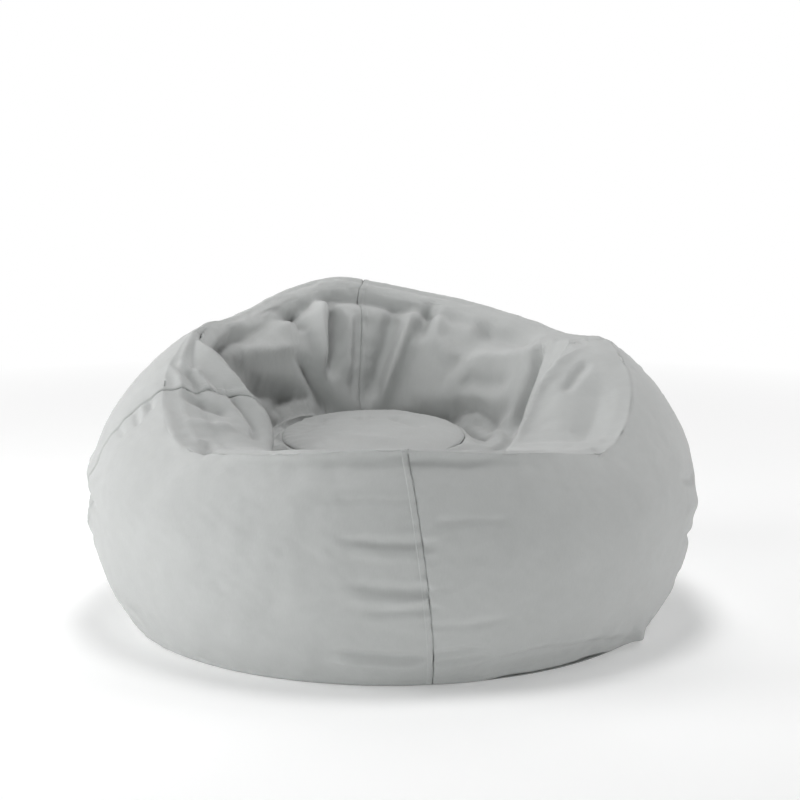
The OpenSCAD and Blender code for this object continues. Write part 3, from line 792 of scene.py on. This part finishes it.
LOOKS = {
    "cover_cloth": (cloth_material, (0.45, 0.458, 0.453), (0.54, 0.548, 0.543), 0.0011, 0.00016, 0.12, 0.9),
    "sewing_thread": (thread_material, (0.36, 0.38, 0.375), (0.52, 0.54, 0.535)),
    "zip_tape": (cloth_material, (0.33, 0.355, 0.35), (0.43, 0.455, 0.45), 0.0016, 0.00014, 0.1, 0.8),
    "zip_coil": (plastic_material, (0.3, 0.325, 0.32), (0.38, 0.405, 0.4), 0.35),
    "zip_metal": (metal_material,),
    "liner_cloth": (cloth_material, (0.74, 0.74, 0.72), (0.84, 0.84, 0.82), 0.0007, 0.00008, 0.08, 0.85),
    "beads": (bead_material,),
}
MATERIALS = {name: make(name, *values) for name, (make, *values) in LOOKS.items()}

# ------------------------ pieces

panels = [build_panel(k) for k in range(4)]
for k, obj in enumerate(panels):
    finish_piece(obj, PANELS[k], "cover_cloth", thickness=CLOTH, fill=0.7)


def nearest_on(*objects):
    """The surfaces of pieces as one thing to measure to."""
    corners, faces = [], []
    for obj in objects:
        start = len(corners)
        corners += [v.co for v in obj.data.vertices]
        faces += [[start + i for i in p.vertices] for p in obj.data.polygons]
    return BVHTree.FromPolygons(corners, faces)


STITCH_W = 0.55 * MM
STITCH_L = 2.6 * MM
STITCH_PITCH = 3.4 * MM


def stitch_mesh(name, rows):
    """Short stitches along each row, a pair of arrays with points and the surface's normals."""
    sides, rings = 6, ((-0.5, 0.35), (-0.42, 0.85), (-0.2, 1.0), (0.2, 1.0), (0.42, 0.85), (0.5, 0.35))
    turn = np.arange(sides) / sides * 2 * math.pi
    template = np.array([(x * STITCH_L, np.cos(t) * r * STITCH_W / 2, np.sin(t) * r * STITCH_W / 2)
                         for x, r in rings for t in turn])
    tube = np.array(grid_faces(len(rings), sides, True))
    points, quads, caps = [], [], []
    for line, normal in rows:
        along = run(line)
        count = int(along[-1] / STITCH_PITCH)
        at = (np.arange(count) + 0.5) * STITCH_PITCH
        centre = spots(at, along, line)
        up = unit(spots(at, along, normal))
        tangent = unit(spots(at + STITCH_L / 2, along, line) - centre)
        side = unit(np.cross(up, tangent))
        up = np.cross(tangent, side)
        # the stitch sinks a little at both ends
        sag = -0.5 * STITCH_W * (np.abs(template[:, 0]) / (STITCH_L / 2)) ** 2 + 0.18 * STITCH_W
        made = (centre[:, None] + template[None, :, :1] * tangent[:, None]
                + template[None, :, 1:2] * side[:, None]
                + (template[None, :, 2:] + sag[None, :, None]) * up[:, None])
        base = sum(len(p) for p in points)
        shift = base + np.arange(count)[:, None, None] * len(template)
        points.append(made.reshape(-1, 3))
        quads.append((tube[None] + shift).reshape(-1, 4))
        ends = np.array([list(range(sides))[::-1], [(len(rings) - 1) * sides + i for i in range(sides)]])
        caps.append((ends[None] + shift).reshape(-1, sides))
    faces = np.concatenate(quads).tolist() + np.concatenate(caps).tolist()
    return mesh_object(name, np.concatenate(points), faces)


def sew(node, rows, **options):
    finish_piece(stitch_mesh(node + "_stitches", rows), node, "sewing_thread", **options)


def laid(tree, line):
    """The line moved on to a piece's surface, with that surface's normals."""
    found = [tree.find_nearest(Vector(p)) for p in line]
    return (np.array([f[0] for f in found]), np.array([f[1] for f in found]))


trees = [nearest_on(obj) for obj in panels]
for k in range(4):
    s = np.linspace(0.012, 2.985, 700)
    line, normal = settled(np.full(len(s), k + 4.0), s)
    away = unit(np.cross(unit(np.gradient(line, axis=0)), normal))
    beside = surface(azimuth(k + 3.95, s), s) - line
    if ((away * 0.01 - beside) ** 2).sum() > ((away * 0.01 + beside) ** 2).sum():
        away = -away
    sew(THREADS[k], [laid(trees[(k + 3) % 4], line + away * (d * MM)) for d in STITCH_ROWS])

# seat disc, a crowned round of the same cloth with a turned-down edge and stitches along it
DISC_ROW = 3.6
disc_rings = np.concatenate([3.0035 + 0.12 * np.linspace(0, 1, 14) ** 1.7, np.linspace(3.13, 3.97, 44)[1:]])
disc_u, disc_s = np.meshgrid(np.arange(360) / 90, disc_rings)
disc_points, disc_normal = folded(disc_u, disc_s)
disc_shift = sample(SHIFT, disc_u, np.minimum(disc_s, 3.88))
disc_points = disc_points + disc_shift * smooth((3.98 - disc_s) / 0.3)[..., None]
disc_in = (disc_s - 3) * DISC_R / MM
disc_plain = surface(azimuth(disc_u, disc_s), disc_s)
disc_round = grid_of(np.radians(azimuth(disc_u, disc_s)) * DISC_R, disc_in * MM * 0.4, 0)
disc_lift = -2.6 * np.exp(-disc_in / 1.2) - 1.0 * np.exp(-disc_in / 7) - 0.3 * bump(disc_in, DISC_ROW, 0.6)
disc_lift += 0.7 * waves(disc_round, 0.018, 61, 14) * np.exp(-disc_in / 10) * smooth(disc_in / 3)
disc_lift += 0.5 * waves(disc_plain, 0.06, 62) + 0.25 * waves(disc_plain, 0.025, 63)
disc_points = disc_points + disc_normal * (disc_lift * MM)[..., None]
disc, points = closed("seat_disc_soft", disc_points, disc_points[-1].mean(0) + (0, 0, 0.00005))
store_grain(disc, points * FLAT)
finish_piece(disc, "seat_disc", "cover_cloth", "seat", thickness=CLOTH, fill=0.8)
u, s = np.linspace(0, 4, 900), 3 + DISC_ROW * MM / DISC_R
sew("thread_seat_ring", [laid(nearest_on(disc), surface(azimuth(u, s), s))], body="seat")

BASE_ROW = 0.022
rows = []
for k in range(4):
    u = np.linspace(k + 0.004, k + 0.996, 260)
    rows.append(laid(trees[k], surface(azimuth(u, BASE_ROW), BASE_ROW)))
sew("thread_base_ring", rows)

# ------------------------ base and cover zip

ZIP_L = 0.6
ZIP_W = 0.0064
ZIP_Z = 0.005
TAPE_W = 0.015
LIP_Z = 0.0034
LIP_W = 0.036
SLOT_W = 0.008


def flat_sheet(node, form, side, points, slot, thickness):
    """A level piece from a grid of points, on side -1 or 1 of its zip."""
    faces = grid_faces(*points.shape[:2])
    if side < 0:
        faces = [f[::-1] for f in faces]
    obj = mesh_object(f"{node}_{form}", points, faces)
    set_grain(obj, points)
    finish_piece(obj, node, slot, thickness=thickness, sink=False)


def build_base(side, name):
    inside = BASE_R - CLOTH - 0.5 * MM
    x = np.sin(np.linspace(-1, 1, 260) * math.pi / 2) * inside * 0.9995
    share = np.concatenate([spread((0, 0.1, 22)), np.linspace(0.1, 1, 60)])
    beside = smooth((ZIP_L / 2 + TAPE_W - np.abs(x)) / 0.006)
    inner = SLOT_W * beside
    outer = np.maximum(np.sqrt(np.maximum(inside ** 2 - x ** 2, 0)), inner + 0.0002)
    y = inner[None] + (outer - inner)[None] * share[:, None]
    height = LIP_Z * np.clip((LIP_W - y) / (LIP_W - SLOT_W), 0, 1) * beside[None]
    edge = (outer[None] - y) / MM
    ripple = MM * 0.25 * (1 + waves(grid_of(x, y * side, 0), 0.05, 71))
    height = height + ripple * smooth(edge / 20) * smooth((y - 0.045) / 0.02)
    points = grid_of(x, y * side, np.maximum(height, 0))
    flat_sheet(name, "soft", side, points, "cover_cloth", CLOTH)


build_base(-1, "base_front")
build_base(1, "base_rear")

rows = []
for side in (-1, 1):
    x = np.linspace(-ZIP_L / 2, ZIP_L / 2, 400)
    hem = SLOT_W + 3 * MM
    line = grid_of(x, side * hem, LIP_Z * (LIP_W - hem) / (LIP_W - SLOT_W))
    rows.append((line, np.broadcast_to((0, -side * 0.12, -1), line.shape)))
sew("thread_zip", rows, sink=False)


def build_tape(name, side, y0, length, inner, thick, z):
    x = np.linspace(-length / 2, length / 2, 300)
    across = np.linspace(inner, inner + TAPE_W, 12)
    grid_x, grid_y = np.meshgrid(x, across)
    edge = np.exp(-((grid_y - inner) / 0.0012) ** 2) * 0.1 * thick
    wave = 0.08 * thick * np.sin(grid_x / 0.021) * smooth((grid_y - inner) / TAPE_W)
    points = grid_of(grid_x, y0 + side * grid_y, z - thick / 2 + edge + wave)
    flat_sheet(name, "woven", side, points, "zip_tape", thick * 0.8)


def build_coil(name, side, y0, length, width, thick, z, pitch):
    """Half of a nylon coil: round turns that reach across from the tape and meet the other half."""
    count = int(length / pitch)
    sides = 6
    turn = np.arange(sides) / sides * 2 * math.pi
    wire = pitch * 0.42
    reach = width / 2
    lobe = thick / 2 - wire / 2
    tip = 0.04 * MM + wire / 2
    path = np.array([(reach, -lobe), (reach * 0.45, -lobe), (reach * 0.12, -lobe * 0.8), (tip, 0),
                     (reach * 0.12, lobe * 0.8), (reach * 0.45, lobe), (reach, lobe)])
    ahead = unit(np.gradient(path, axis=0))
    points = []
    for j, (at, direction) in enumerate(zip(path, ahead)):
        for t in turn:
            out = np.array([-direction[1], direction[0]]) * np.cos(t) * wire / 2
            lean = (j / (len(path) - 1) - 0.5) * pitch * 0.3
            points.append((np.sin(t) * wire / 2 + lean, at[0] + out[0], at[1] + out[1]))
    faces = np.array(grid_faces(len(path), sides, True))
    template = np.array(points)
    offset = pitch * (0.25 if side > 0 else 0.75)
    at = -length / 2 + offset + np.arange(count) * pitch
    made = np.repeat(template[None], count, 0)
    made[..., 0] += at[:, None]
    made[..., 1] = y0 + side * made[..., 1]
    made[..., 2] += z
    quads = (faces[None] + np.arange(count)[:, None, None] * len(template)).reshape(-1, 4)
    if side < 0:
        quads = quads[:, ::-1]
    obj = mesh_object(name + "_coil", made.reshape(-1, 3), quads.tolist())
    finish_piece(obj, name, "zip_coil", sink=False)


for side, end in ((-1, "front"), (1, "rear")):
    build_tape("zip_tape_" + end, side, 0, ZIP_L + TAPE_W, ZIP_W / 2, 0.8 * MM, ZIP_Z)
    build_coil("zip_teeth_" + end, side, 0, ZIP_L, ZIP_W, 2.8 * MM, ZIP_Z, 1.3 * MM)

# ------------------------ liner and its beads

LINING = 0.6 * MM
LINER_Y = 0.12
LINER_FLOOR = 0.0082
FILL_FLOOR = 0.0102
LINER_Z = LINER_FLOOR - 0.0003
LINER_L = 0.48
LINER_W = 0.005


def lowest(field):
    """Each value of a grid that closes on itself, lowered to the least of those around it."""
    for neighbours in (beside_columns, beside_rows) * 2:
        field = np.minimum(np.minimum(*neighbours(field)), field)
    return field


cover_tree = nearest_on(*panels)


def tucked(points, least):
    """Points moved until each is at least so far behind the cover, also in its sharpest crests."""
    flat = points.reshape(-1, 3).copy()
    going = np.arange(len(flat))
    for _ in range(6):
        if not len(going):
            break
        spot, way = laid(cover_tree, flat[going])
        short = ((flat[going] - spot) * way).sum(-1) + least
        going, way, short = going[short > 0], way[short > 0], short[short > 0]
        flat[going] -= way * (short + 0.0003)[:, None]
    return flat.reshape(points.shape)


def inner_shell(rows, depth, least, floor, wrinkle=0.0, seed=80):
    """The cover's shape, depth further in and standing on a floor of its own."""
    u, s = np.meshgrid(np.arange(COLUMNS) / COLUMNS * 4, rows)
    points, way = settled(u, s)
    plain = surface(azimuth(u, s), s)
    lift = ((points - plain) * way).sum(-1)
    points = points + way * (lowest(lift) - lift)[..., None]
    normal = unit(normals_of(points, True) + 0.5 * normals_of(plain, True))
    extra = wrinkle * (waves(plain, 0.045, seed) - 1.2)
    points = points - normal * (depth - np.minimum(extra, 0))[..., None]
    for _ in range(6):
        inward = ((sum(beside_rows(points)) / 2 - points) * normal).sum(-1)
        points = points + normal * np.minimum(inward, 0)[..., None] * 0.7
    if least:
        points = np.where(((s > 0.6) & (s < 3))[..., None], tucked(points, least), points)
    low = np.clip(plain[..., 2] / BELLY_Z, 0, 1)
    level = floor + low * (BELLY_Z - floor)
    keep = smooth((s - 0.05) / 0.4)
    points[..., 2] = np.where(s < 1, mix(level, np.maximum(points[..., 2], floor), keep), points[..., 2])
    return points


liner_rows = np.concatenate([spread((0, 1, 24), (1, 2, 30)), np.linspace(2, 2.97, 34)])
liner_points = inner_shell(liner_rows, 7.6 * MM, 4 * MM, LINER_FLOOR, wrinkle=0.4 * MM)
obj = mesh_object("liner_body_soft", liner_points, grid_faces(len(liner_rows), COLUMNS, True))
set_grain(obj, liner_points)
finish_piece(obj, "liner_body", "liner_cloth", thickness=LINING)

top_points = inner_shell(np.linspace(3.02, 3.9, 16), 7.6 * MM, 0, 0, wrinkle=0.3 * MM, seed=81)
obj, points = closed("liner_top_soft", top_points, top_points[-1].mean(0))
store_grain(obj, points * FLAT)
finish_piece(obj, "liner_top", "liner_cloth", thickness=LINING)


def build_liner_base(side, name):
    inside = BASE_R - 9.4 * MM
    widest = math.sqrt(inside ** 2 - LINER_Y ** 2) if side > 0 else inside
    x = np.sin(np.linspace(-1, 1, 200) * math.pi / 2) * widest * 0.999
    outer = np.sqrt(inside ** 2 - x ** 2)
    room = 6 * MM * smooth((LINER_L / 2 + 0.01 - np.abs(x)) / 0.004)
    line = LINER_Y + room if side > 0 else np.minimum(LINER_Y - room, outer)
    share = np.linspace(0, 1, 50)
    y = line[None] + (side * outer - line)[None] * share[:, None]
    ripple = MM * 0.15 * (1 + waves(grid_of(x, y, 0), 0.05, 91))
    points = grid_of(x, y, LINER_FLOOR + ripple * smooth(np.abs(y - line[None]) / 0.02))
    flat_sheet(name, "soft", side, points, "liner_cloth", LINING)


for side, end in ((-1, "front"), (1, "rear")):
    build_liner_base(side, "liner_base_" + end)
    build_tape("liner_tape_" + end, side, LINER_Y, LINER_L + TAPE_W, LINER_W / 2, LINING, LINER_Z)
    build_coil("liner_teeth_" + end, side, LINER_Y, LINER_L, LINER_W, 1.6 * MM, LINER_Z, 1.2 * MM)

fill_rows = np.concatenate([spread((0, 1, 24), (1, 2, 30), (2, 3, 32)), np.linspace(3, 3.9, 14)])
fill_points = inner_shell(fill_rows, 12.2 * MM, 8 * MM, FILL_FLOOR)
obj, _ = closed("bead_fill_soft", fill_points, fill_points[-1].mean(0), (0, 0, FILL_FLOOR))
finish_piece(obj, "bead_fill", "beads", fill=0.8, stands_at=FILL_FLOOR)

# metal pieces keep their CAD meshes
for name in ("zip_slider", "zip_stops", "liner_slider", "liner_stops"):
    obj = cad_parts[name]
    obj.data.materials.clear()
    obj.data.materials.append(MATERIALS["zip_metal"])
    bevel = obj.modifiers.new("bevel", "BEVEL")
    bevel.width = 0.00025
    bevel.segments = 2
    bevel.limit_method = "ANGLE"

# ------------------------ floor, light and camera settings

# pale paper near the bag that turns into an even white further out
floor_material, tree, shader = node_material("floor_paper")
place = object_place(tree)
paper = tint(tree, noise(tree, place, 1.5, 2.0), (0.93, 0.93, 0.93), (0.95, 0.95, 0.95))
feed(tree, shader, {"Base Color": paper, "Roughness": 0.9, "Emission Color": (1, 1, 1, 1),
                    "Emission Strength": 0.15})
away = add(tree, "ShaderNodeVectorMath", {0: place}, operation="LENGTH").outputs["Value"]
far = ramp(tree, away, 1.0, 2.6)
glow = add(tree, "ShaderNodeEmission", {"Strength": 1.0})
blended = add(tree, "ShaderNodeMixShader", {0: far, 1: shader.outputs[0], 2: glow.outputs[0]})
output = [n for n in tree.nodes if n.type == "OUTPUT_MATERIAL"][0]
tree.links.new(blended.outputs[0], output.inputs[0])
corners = [(30 * x, 30 * y, -0.0004) for x, y in ((-1, -1), (1, -1), (1, 1), (-1, 1))]
floor = mesh_object("floor", corners, [[0, 1, 2, 3]])
floor.data.materials.append(floor_material)

# a white studio that is bright to look at but gives only a little light of its own
world = bpy.data.worlds.new("studio")
scene.world = world
world.use_nodes = True
tree = world.node_tree
seen = add(tree, "ShaderNodeLightPath").outputs["Is Camera Ray"]
background = tree.nodes["Background"]
background.inputs[0].default_value = (1, 1, 1, 1)
tree.links.new(ramp(tree, seen, 0.0, 1.0, 0.01, 1.0), background.inputs[1])


def softbox(name, location, power, size=1.4, color=(1, 1, 1)):
    light = bpy.data.lights.new(name, "AREA")
    light.shape = "DISK"
    light.size = size
    light.energy = power
    light.color = color
    obj = bpy.data.objects.new(name, light)
    obj.location = location
    obj.rotation_euler = (Vector((0, 0, 0.3)) - Vector(location)).to_track_quat("-Z", "Y").to_euler()
    scene.collection.objects.link(obj)


softbox("top", (0.0, -0.1, 3.2), 32, 1.0)
softbox("overhead", (0.0, 1.2, 3.0), 14)
softbox("back", (0.0, 2.2, 2.4), 12)
softbox("back left", (-2.2, 2.0, 1.5), 8)
softbox("back right", (2.2, 2.0, 1.5), 6)
softbox("left", (-2.6, -0.3, 1.2), 36)
softbox("left low", (-3.0, -0.3, 0.5), 13)
softbox("left front", (-2.2, -2.2, 1.5), 8)
softbox("right low", (3.0, -0.3, 0.5), 28)
softbox("right high", (2.2, 0.2, 2.6), 15)
softbox("front", (-1.0, -3.5, 0.5), 29, 1.2, (0.96, 1.0, 0.985))

scene.view_settings.view_transform = "Standard"
scene.view_settings.look = "None"
scene.cycles.max_bounces = 6
scene.cycles.diffuse_bounces = 4
